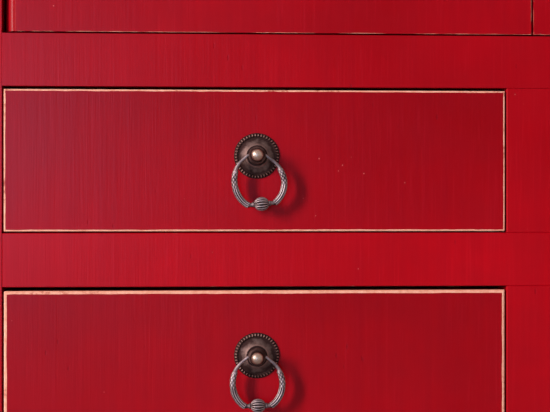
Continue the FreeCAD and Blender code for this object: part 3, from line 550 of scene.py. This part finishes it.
def ball_profile():
    rows = []
    start = math.asin(-(BALL_CENTRE - BALL_START) / BALL_RADIUS)
    for number in range(BALL_ROWS + 1):
        lift = start + (math.pi / 2 - POLE_GAP - start) * number / BALL_ROWS
        # The crest, and with it the colour, falls off towards the sides of the ball: painted shade.
        rows.append((BALL_RADIUS * math.cos(lift), BALL_CENTRE + BALL_RADIUS * math.sin(lift),
                     BALL_CREST * ease(*BALL_PAINTED_SHADE, lift)))
    return rows


# Rings. Each station is an angle from the top of the ring, the radius of its metal there and the radius of
# its middle line.

RING_STATIONS = (
    (27, 1.26, 23.35), (39, 1.36, 22.75), (50, 1.52, 22.4), (57, 1.72, 22.1), (61, 2.35, 21.65),
    (68, 2.60, 21.35), (80, 2.75, 21.15), (95, 2.80, 21.05), (112, 2.80, 21.1), (128, 2.75, 21.25),
    (140, 2.70, 21.4), (145, 2.74, 21.4), (148, 2.82, 21.36))
# Past the last station, each row is a share of the radius there, how far it lies back and its crest.
RING_END = ((0.93, -0.25, 0.9), (0.80, -0.15, 0.7), (0.68, 0.5, 0.1), (0.5, 0.7, 0.0))
SHOULDER_ANGLE = 57
HORN_ANGLE = RING_STATIONS[-1][0]
RING_DROP = 23.2
PIVOT_HEIGHT = 9.6
BOSS_REACH = 7.5
WIRE_RADIUS = 1.25
WIRE_DIP = -0.05
ARM_START_SHARE = 0.55
WIRE_HALF_SHARE = 0.6
WIRE_CREST = 0.5
WIRE_STATIONS = 6
WIRE_STEPS = 16
AROUND = 44
SPAN_STEPS = 7
LEAN_START = (7.5, 36)
FLUTES = 8
FLUTE_TWIST = 1.6
FLUTE_SHARPNESS = 0.9
FLUTE_DEPTH = 0.30
LEAF = (0.02, 0.10)
PLAIT_END = (0.38, 0.52)
PLAIT_STRANDS = 2.5
PLAIT_TURNS = 26
PLAIT_LIFT = 0.35
RING_GRAIN = 0.05
GRAIN_SCALE = 1.3
SMOOTH_CREST = 0.58


def lean_spot(x, z, lean):
    turn = lean * ease(*LEAN_START, math.hypot(x, z))
    return x * math.cos(turn) - z * math.sin(turn), x * math.sin(turn) + z * math.cos(turn)


def through(points, per_span):
    """Catmull-Rom samples through rows of numbers."""
    samples = []
    rows = [points[0]] + list(points) + [points[-1]]
    for index in range(1, len(rows) - 2):
        before, start, end, after = rows[index - 1:index + 3]
        for step in range(per_span):
            t = step / per_span
            samples.append([0.5 * (2 * b + (c - a) * t + (2 * a - 5 * b + 4 * c - d) * t * t
                                   + (3 * b - a - 3 * c + d) * t ** 3)
                            for a, b, c, d in zip(before, start, end, after)])
    samples.append(list(points[-1]))
    return samples


def ring_crest(turn, share, side):
    """How high the metal stands at a place of the ring, from 0 in a groove to 1 on a crest, and how far the
    ornament has begun there."""
    flute = abs(math.sin(turn * FLUTES / 2 + share * FLUTE_TWIST * side))
    cross = (abs(math.sin(turn * PLAIT_STRANDS + share * PLAIT_TURNS))
             * abs(math.sin(turn * PLAIT_STRANDS - share * PLAIT_TURNS)))
    plait = 1 - ease(*PLAIT_END, share)
    crest = flute ** FLUTE_SHARPNESS * (1 - plait) + (PLAIT_LIFT + (1 - PLAIT_LIFT) * cross ** 0.5) * plait
    leaf = ease(*LEAF, share)
    return 1 - leaf * (1 - crest), leaf


def ring_track(side, lean):
    """Rows of x, z, radius and share of the way from the shoulder to the horn.

    The wire inside and just outside the boss comes first, with shares below 0, where the metal is smooth."""
    stations = [(BOSS_REACH * ARM_START_SHARE * side, 0.0, WIRE_RADIUS, -1.0),
                (BOSS_REACH * side, WIRE_DIP, WIRE_RADIUS, -0.9)]
    for angle, radius, line in RING_STATIONS:
        turn = math.radians(angle)
        stations.append((line * math.sin(turn) * side, line * math.cos(turn) - RING_DROP, radius,
                         (angle - SHOULDER_ANGLE) / (HORN_ANGLE - SHOULDER_ANGLE)))
    return [(*lean_spot(x, z, lean), radius, share) for x, z, radius, share in through(stations, SPAN_STEPS)]


def ring_arm(side, lean, seed):
    track = ring_track(side, lean)
    rows = []
    for index, (x, z, radius, share) in enumerate(track):
        before, after = track[max(0, index - 1)], track[min(len(track) - 1, index + 1)]
        along = Vector((after[0] - before[0], 0, after[1] - before[1])).normalized()
        out = Vector((along.z * side, 0, -along.x * side))
        row = []
        for step in range(AROUND):
            turn = FULL_TURN * step / AROUND
            crest, leaf = ring_crest(turn, share, side)
            grain = noise.noise(Vector((x, z, turn)) * GRAIN_SCALE + Vector((seed, 0, 0)))
            wide = radius * (1 - FLUTE_DEPTH * (1 - crest)) + RING_GRAIN * grain
            spot = out * (math.cos(turn) * wide)
            rubbed = (SMOOTH_CREST + (1 - SMOOTH_CREST) * leaf) * crest ** (1 + leaf)
            row.append((x + spot.x, -PIVOT_HEIGHT - math.sin(turn) * wide, z + spot.z, rubbed))
        rows.append(row)
    end, radius = track[-1], track[-1][2]
    back = Vector((track[-2][0] - end[0], 0, track[-2][1] - end[1])).normalized()
    out = Vector((-back.z * side, 0, back.x * side))
    for wide, sink, crest in RING_END:
        row = []
        for step in range(AROUND):
            turn = FULL_TURN * step / AROUND
            spot = out * (math.cos(turn) * radius * wide) + back * sink
            row.append((end[0] + spot.x, -PIVOT_HEIGHT - math.sin(turn) * radius * wide, end[1] + spot.z,
                        crest))
        rows.append(row)
    return skinned(rows)


def ring_wire():
    rows = []
    for place in range(-WIRE_STATIONS, WIRE_STATIONS + 1):
        x = BOSS_REACH * WIRE_HALF_SHARE * place / WIRE_STATIONS
        row = []
        for step in range(WIRE_STEPS):
            turn = FULL_TURN * step / WIRE_STEPS
            row.append((x, -PIVOT_HEIGHT - math.sin(turn) * WIRE_RADIUS, math.cos(turn) * WIRE_RADIUS,
                        WIRE_CREST))
        rows.append(row)
    return skinned(rows)


# The bead and its necks. A row is the distance from the middle, the radius and the crest.
NECK_RADIUS = 1.95
NECK_OVERLAP = 0.9
NECK_SHOWN = 0.6
NECK_CREST = 0.28
NECK_PROFILE = ((9.6, 1.7, 0.38), (8.2, 1.75, 0.38), (7.55, 2.0, 0.38), (7.3, 2.4, 0.45), (6.95, 2.5, 0.45),
                (6.6, 2.3, 0.3), (6.45, 1.9, 0.0))
BEAD_RIBS = 14
BEAD_STEPS = 9
BEAD_ROWS = 12
BEAD_REACH = 6.25
BEAD_HALF_LENGTH = 6.5
BEAD_RADIUS = 5.95
BEAD_END_RADIUS = 1.7
BEAD_CREST = 0.84
RIB_TURN = 0.35
RIB_SHARPNESS = 1.5
RIB_DEPTH = 1.0
RIB_START = (1.7, 3.5)
RIB_RUB = 1.3


def ring_bead(lean):
    line = RING_STATIONS[-1][2]
    reach = line * math.sin(math.radians(HORN_ANGLE))
    drop = RING_DROP - line * math.cos(math.radians(HORN_ANGLE))
    neck = ((reach + NECK_OVERLAP, NECK_RADIUS, 0.0), (reach - NECK_SHOWN, NECK_RADIUS, NECK_CREST),
            *NECK_PROFILE)
    half = [(place, wide, crest, 0) for place, wide, crest in neck]
    for number in range(BEAD_ROWS + 1):
        place = BEAD_REACH * math.cos(math.pi / 2 * number / BEAD_ROWS)
        wide = BEAD_RADIUS * (1 - (place / BEAD_HALF_LENGTH) ** 2) ** 0.5
        half.append((place, max(wide, BEAD_END_RADIUS), BEAD_CREST, 1))
    whole = half + [(-place, wide, crest, ribbed) for place, wide, crest, ribbed in half[-2::-1]]
    rows = []
    steps = BEAD_RIBS * BEAD_STEPS
    for place, wide, crest, ribbed in whole:
        row = []
        for step in range(steps):
            turn = FULL_TURN * step / steps
            rib = abs(math.sin(turn * BEAD_RIBS / 2 + RIB_TURN))
            groove = (1 - rib ** RIB_SHARPNESS) * ribbed * ease(*RIB_START, wide)
            thick = wide - RIB_DEPTH * groove
            x, z = lean_spot(place, math.cos(turn) * thick - drop, lean)
            row.append((x, -PIVOT_HEIGHT - math.sin(turn) * thick, z, crest * (1 - groove) ** RIB_RUB))
        rows.append(row)
    return skinned(rows)


# Pulls

# Each ring hangs a few degrees out of true, as the photographed ones do.
LEANS = {"drawer_upper_left": 5.4, "drawer_upper_right": -1.6, "drawer_lower_left": 1.2,
         "drawer_lower_right": 2.4, "door_left": -1.0, "door_right": 1.4}
SEED_STEP = 7.3
BALL_SEED = 5
SHANK_SINK = 0.5
SHANK_SMOOTHING = 30
ROSETTE_SMOOTHING = 50


def add_pull(body, seed):
    """Rosette, boss with its ball, and ring of one drawer or door."""
    low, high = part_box(body + "_rosette")
    origin = ((low.x + high.x) / 2, high.y, (low.z + high.z) / 2)
    lean = math.radians(LEANS[body])
    ring = [ring_arm(side, lean, seed) for label, side in SIDES] + [ring_wire(), ring_bead(lean)]
    cast_piece(body + "_rosette_cast", [rosette_skin()], origin, bronze, body,
               [body + "_rosette"], ROSETTE_SMOOTHING)
    cast_piece(body + "_boss_cast", [turned_skin(BOSS_PROFILE, BOSS_WOBBLE, seed)], origin, bronze, body,
               [])
    cast_piece(body + "_ball_cast", [turned_skin(ball_profile(), BALL_WOBBLE, seed + BALL_SEED)], origin,
               ball_brass, body, [body + "_pull_post"])
    cast_piece(body + "_ring_cast", ring, origin, ring_metal, body + "_ring", [body + "_ring"])


def add_shank(body):
    """The shank and the clenched prongs behind the front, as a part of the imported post."""
    low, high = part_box(body + "_rosette")
    model = packed_copy(body + "_pull_post")
    cut = bmesh.ops.bisect_plane(model, geom=model.verts[:] + model.edges[:] + model.faces[:],
                                 plane_co=(0, high.y - SHANK_SINK * MM, 0), plane_no=(0, -1, 0),
                                 clear_outer=True)
    rim = [item for item in cut["geom_cut"] if isinstance(item, bmesh.types.BMEdge)]
    bmesh.ops.edgeloop_fill(model, edges=rim)
    name = body + "_shank"
    finish_piece(name, as_mesh(model, name), ball_brass, body, [body + "_pull_post"],
                 SHANK_SMOOTHING)


for number, key in enumerate(PULLED):
    add_pull(key, number * SEED_STEP)
    add_shank(key)


# Moon plates: half discs with turned rims and dome-headed pins.

PLATE_PROFILE = (
    (120.0, 0.0, 0.0), (120.0, 1.1, 0.5), (119.5, 1.5, 1.0), (117.2, 1.5, 0.9), (116.7, 1.15, 0.0),
    (115.9, 1.15, 0.0), (115.4, 1.5, 0.9), (113.6, 1.5, 0.7), (113.2, 1.2, 0.0), (112.6, 1.2, 0.0),
    (112.2, 1.5, 0.8), (102.0, 1.45, 0.5), (101.5, 1.15, 0.0), (100.7, 1.15, 0.0), (100.2, 1.45, 0.8),
    (90.0, 1.42, 0.5), (75.0, 1.4, 0.45), (60.0, 1.4, 0.45), (45.0, 1.4, 0.45), (30.0, 1.4, 0.45),
    (15.0, 1.4, 0.45), (0.0, 1.4, 0.45))
PLATE_STEPS = 120
PLATE_RADIUS = 120
PLATE_REACH = 119
DOOR_HALF_GAP = 1.0
PLATE_DENT = 0.10
PLATE_DENT_SCALE = 0.09
PLATE_SEED = 9
DENTED_WITHIN = 100
PLATE_SMOOTHING = 35
PIN_PROFILE = ((2.6, 1.2, 0.0), (2.6, 1.55, 0.3), (2.3, 2.2, 0.7), (1.6, 2.75, 0.9), (0.7, 3.0, 1.0),
               (0.1, 3.05, 1.0))
PIN_CIRCLE = 107.2
PIN_COUNT = 7
FIRST_PIN_DEGREES = -78
PIN_STEP_DEGREES = 26
PIN_STEPS = 20


def plate_skin(side):
    rows = []
    for radius, height, crest in PLATE_PROFILE:
        row = []
        for step in range(PLATE_STEPS + 1):
            angle = math.pi * step / PLATE_STEPS - math.pi / 2
            x = DOOR_HALF_GAP + radius * math.cos(angle) * PLATE_REACH / PLATE_RADIUS
            z = radius * math.sin(angle)
            dent = 0
            if radius < DENTED_WITHIN:
                dent = PLATE_DENT * noise.noise(Vector((x, z, side * PLATE_SEED)) * PLATE_DENT_SCALE)
            row.append((x * side, -(height + dent), z, crest))
        rows.append(row)
    points, faces = skinned(rows, around=False, capped=False)
    count = PLATE_STEPS + 1
    starts = [row * count for row in range(len(rows))]
    faces.append(tuple(starts + [start + PLATE_STEPS for start in reversed(starts)]))
    faces.append(tuple(range(count))[::-1])
    return points, faces


def pin_skin(side, number):
    angle = math.radians(FIRST_PIN_DEGREES + PIN_STEP_DEGREES * number)
    middle_x, middle_z = PIN_CIRCLE * math.cos(angle), PIN_CIRCLE * math.sin(angle)
    rows = []
    for wide, height, crest in PIN_PROFILE:
        row = []
        for step in range(PIN_STEPS):
            turn = FULL_TURN * step / PIN_STEPS
            row.append(((middle_x + wide * math.cos(turn)) * side, -height, middle_z + wide * math.sin(turn),
                        crest))
        rows.append(row)
    return skinned(rows)


for label, side in SIDES:
    body = "door_" + label
    low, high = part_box(body + "_moon_plate")
    skins = [plate_skin(side)] + [pin_skin(side, number) for number in range(PIN_COUNT)]
    cast_piece(body + "_moon_plate_chased", skins, (0, high.y, (low.z + high.z) / 2), plate_brass, body,
               [body + "_moon_plate"], PLATE_SMOOTHING)


# Drawers, doors and carcass

DRAWER_EASE = 0.4
FIELD_EASE = 0.4
DOOR_EASE = 0.5
BOARD_EASE = 0.6
APRON_EASE = 0.8
UPPER_RUB = 2.4
LOWER_RUB = 3.7
DOOR_RUB = 1.4
DRAWER_SEED_STEP = 3.7
DOOR_SEED = 11
# The painted shading of the drawer fronts: lacquer lighter at the bottom, darker at the top.
DRAWER_PAINTED_SHADING = 0.08
DOOR_BOTTOM = 536.5
DOOR_TOP = 1720.5
NEAR = 0.05
CARCASS_BOARDS = (
    "front_post_left", "front_post_right", "rear_post_left", "rear_post_right", "top_rail_front",
    "middle_rail_front", "drawer_rail_front", "bottom_rail_front", "drawer_muntins", "side_rails_left",
    "side_rails_right", "side_panels_left", "side_panels_right", "front_apron", "side_aprons")
TOP_BOARDS = ("top_frame_front", "top_frame_rear", "top_frame_left", "top_frame_right", "top_panel")
# The pieces left as bare wood, and the axis that their grain follows.
GRAINS = {"top_battens": "y", "shelf": "x", "shelf_cleats": "y", "cabinet_floor": "x", "drawer_runners": "y",
          "door_stop": "x", "rear_rails": "x", "rear_panels": "z", **{key + "_box": "box" for key in DRAWERS}}


def on_rim(left, right, bottom, top, front):
    """Picks the edges of a flat front that lie on its outline."""
    def chosen(edge):
        first, second = edge.verts[0].co, edge.verts[1].co
        if abs(first.y - front) > NEAR * MM or abs(second.y - front) > NEAR * MM:
            return False
        return any(abs(first[axis] - line) < NEAR * MM and abs(second[axis] - line) < NEAR * MM
                   for axis, line in ((0, left), (0, right), (2, bottom), (2, top)))
    return chosen


for number, key in enumerate(DRAWERS):
    low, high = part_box(key + "_front")
    rub = UPPER_RUB if "upper" in key else LOWER_RUB
    softened(key + "_front", front_red, DRAWER_EASE, on_rim(low.x, high.x, low.z, high.z, low.y), rub,
             number * DRAWER_SEED_STEP, DRAWER_PAINTED_SHADING)
for label, side in SIDES:
    name = "door_" + label
    low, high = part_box(name + "_frame")
    inner = DOOR_HALF_GAP * MM * side
    outer = low.x if side < 0 else high.x
    left, right = sorted((inner, outer))
    outline = on_rim(left, right, DOOR_BOTTOM * MM, DOOR_TOP * MM, low.y)
    softened(name + "_frame", door_red, DOOR_EASE, outline, DOOR_RUB, DOOR_SEED * side)
    softened(name + "_panel", door_red, FIELD_EASE)

for node in CARCASS_BOARDS:
    softened(node, frame_red, APRON_EASE if "apron" in node else BOARD_EASE)
for node in TOP_BOARDS:
    softened(node, top_red, BOARD_EASE)
for node, axis in GRAINS.items():
    item = frame["nodes"][node]
    item.data.materials.clear()
    item.data.materials.append(wood_along[axis])


# Studio. Sizes are in metres.

BACKDROP = 0.72
FLOOR_RADIUS = 14
FLOOR_CORNERS = 96
FADE_START = 1.3
FADE_END = 3.4
FLOOR_DARK = (0.575, 0.57, 0.555)
FLOOR_LIGHT = (0.615, 0.61, 0.595)
FLOOR_ROUGHNESS = (0.7, 0.8)
FLOOR_SPECULAR = 0.2
SKY_RISE = 0.8
SKY_LOW = 0.145
SKY_HIGH = 0.10
WHITE = (1, 1, 1, 1)


def sees_backdrop(tree):
    """1 for the rays that show what is behind: the camera's, and those mirrored or let through."""
    path = tree.nodes.new("ShaderNodeLightPath")
    share = path.outputs["Is Camera Ray"]
    for name in ("Is Glossy Ray", "Is Transmission Ray"):
        most = tree.nodes.new("ShaderNodeMath")
        most.operation = "MAXIMUM"
        tree.links.new(share, most.inputs[0])
        tree.links.new(path.outputs[name], most.inputs[1])
        share = most.outputs[0]
    return share


def pale_floor():
    """A pale floor that shows the backdrop's own tone far from the cabinet."""
    item = Finish("pale_floor")
    cloud = item.noise(item.coords, scale=1.5, detail=3)
    item.feed(item.shader, {"Base Color": item.mix(item.remap(cloud, 0.3, 0.7), FLOOR_DARK, FLOOR_LIGHT),
                            "Roughness": item.remap(cloud, 0.3, 0.7, *FLOOR_ROUGHNESS),
                            "Specular IOR Level": FLOOR_SPECULAR})
    far = item.add("ShaderNodeVectorMath", {0: item.coords}, operation="LENGTH").outputs["Value"]
    fade = item.add("ShaderNodeMapRange", {"Value": far, "From Min": FADE_START, "From Max": FADE_END},
                    interpolation_type="SMOOTHSTEP").outputs[0]
    share = item.calc("MULTIPLY", fade, sees_backdrop(item.tree))
    glow = item.add("ShaderNodeEmission", {"Color": WHITE, "Strength": BACKDROP})
    blend = item.add("ShaderNodeMixShader", {0: share, 1: item.shader.outputs[0], 2: glow.outputs[0]})
    item.tree.links.new(blend.outputs[0], item.output.inputs["Surface"])
    return item.data


def add_floor():
    model = bmesh.new()
    bmesh.ops.create_circle(model, cap_ends=True, segments=FLOOR_CORNERS, radius=FLOOR_RADIUS)
    mesh = as_mesh(model, "floor")
    mesh.materials.append(pale_floor())
    floor = bpy.data.objects.new("floor", mesh)
    scene.collection.objects.link(floor)


def add_world():
    """A backdrop that is pale where it is seen; what falls on the cabinet stays soft."""
    world = bpy.data.worlds.new("studio")
    scene.world = world
    world.use_nodes = True
    tree = world.node_tree
    tree.nodes.clear()
    split = tree.nodes.new("ShaderNodeSeparateXYZ")
    tree.links.new(tree.nodes.new("ShaderNodeTexCoord").outputs["Generated"], split.inputs[0])
    sky = tree.nodes.new("ShaderNodeMapRange")
    sky.interpolation_type = "SMOOTHSTEP"
    tree.links.new(split.outputs["Z"], sky.inputs["Value"])
    for key, value in (("From Min", 0.0), ("From Max", SKY_RISE), ("To Min", SKY_LOW), ("To Max", SKY_HIGH)):
        sky.inputs[key].default_value = value
    seen = tree.nodes.new("ShaderNodeMix")
    tree.links.new(sees_backdrop(tree), seen.inputs[0])
    tree.links.new(sky.outputs[0], seen.inputs[2])
    seen.inputs[3].default_value = BACKDROP
    background = tree.nodes.new("ShaderNodeBackground")
    background.inputs["Color"].default_value = WHITE
    tree.links.new(seen.outputs[0], background.inputs["Strength"])
    tree.links.new(background.outputs[0], tree.nodes.new("ShaderNodeOutputWorld").inputs["Surface"])


def soft_lamp(name, place, target, width, height, watts, colour=(1, 1, 1)):
    data = bpy.data.lights.new(name, "AREA")
    data.shape = "ELLIPSE"
    data.size = width
    data.size_y = height
    data.energy = watts
    data.color = colour
    lamp = bpy.data.objects.new(name, data)
    lamp.visible_camera = False
    scene.collection.objects.link(lamp)
    lamp.location = place
    lamp.rotation_euler = (Vector(target) - Vector(place)).to_track_quat("-Z", "Y").to_euler()


add_floor()
add_world()

VIEW_MIDDLE = Vector((-0.239, -0.24, 0.43))
KEY_PLACE = VIEW_MIDDLE + Vector((-0.810, -0.500, 0.300)) * 6
HAZE_PLACE = VIEW_MIDDLE + Vector((-0.31, -0.95, 0.06)) * 5
HAZE_COLOUR = (0.26, 0.58, 1.0)
REAR_PLACE = (2.6, 2.4, 2.3)
REAR_TARGET = (0.2, 0.2, 0.9)
TOP_PLACE = (0.3, 0.3, 4.4)
TOP_TARGET = (0, 0.1, 1.8)
soft_lamp("key", KEY_PLACE, VIEW_MIDDLE, width=1.0, height=3.0, watts=480)
soft_lamp("front_haze", HAZE_PLACE, VIEW_MIDDLE, width=1.45, height=1.45, watts=90, colour=HAZE_COLOUR)
soft_lamp("rear_fill", REAR_PLACE, REAR_TARGET, width=2.2, height=2.2, watts=85)
soft_lamp("top_fill", TOP_PLACE, TOP_TARGET, width=1.8, height=1.8, watts=30)

CAMERA_PLACE = (-0.2612, -1.14, 0.3880)
VIEW_WIDTH_DEGREES = 29.33
TURN_TO_RIGHT_DEGREES = 2.42
NEAREST_SEEN = 0.02
camera_data = bpy.data.cameras.new("camera")
camera_data.sensor_fit = "HORIZONTAL"
camera_data.angle = math.radians(VIEW_WIDTH_DEGREES)
camera_data.clip_start = NEAREST_SEEN
camera = bpy.data.objects.new("camera", camera_data)
scene.collection.objects.link(camera)
camera.location = CAMERA_PLACE
camera.rotation_euler = (math.pi / 2, 0, -math.radians(TURN_TO_RIGHT_DEGREES))
scene.camera = camera
scene.view_settings.view_transform = "Standard"
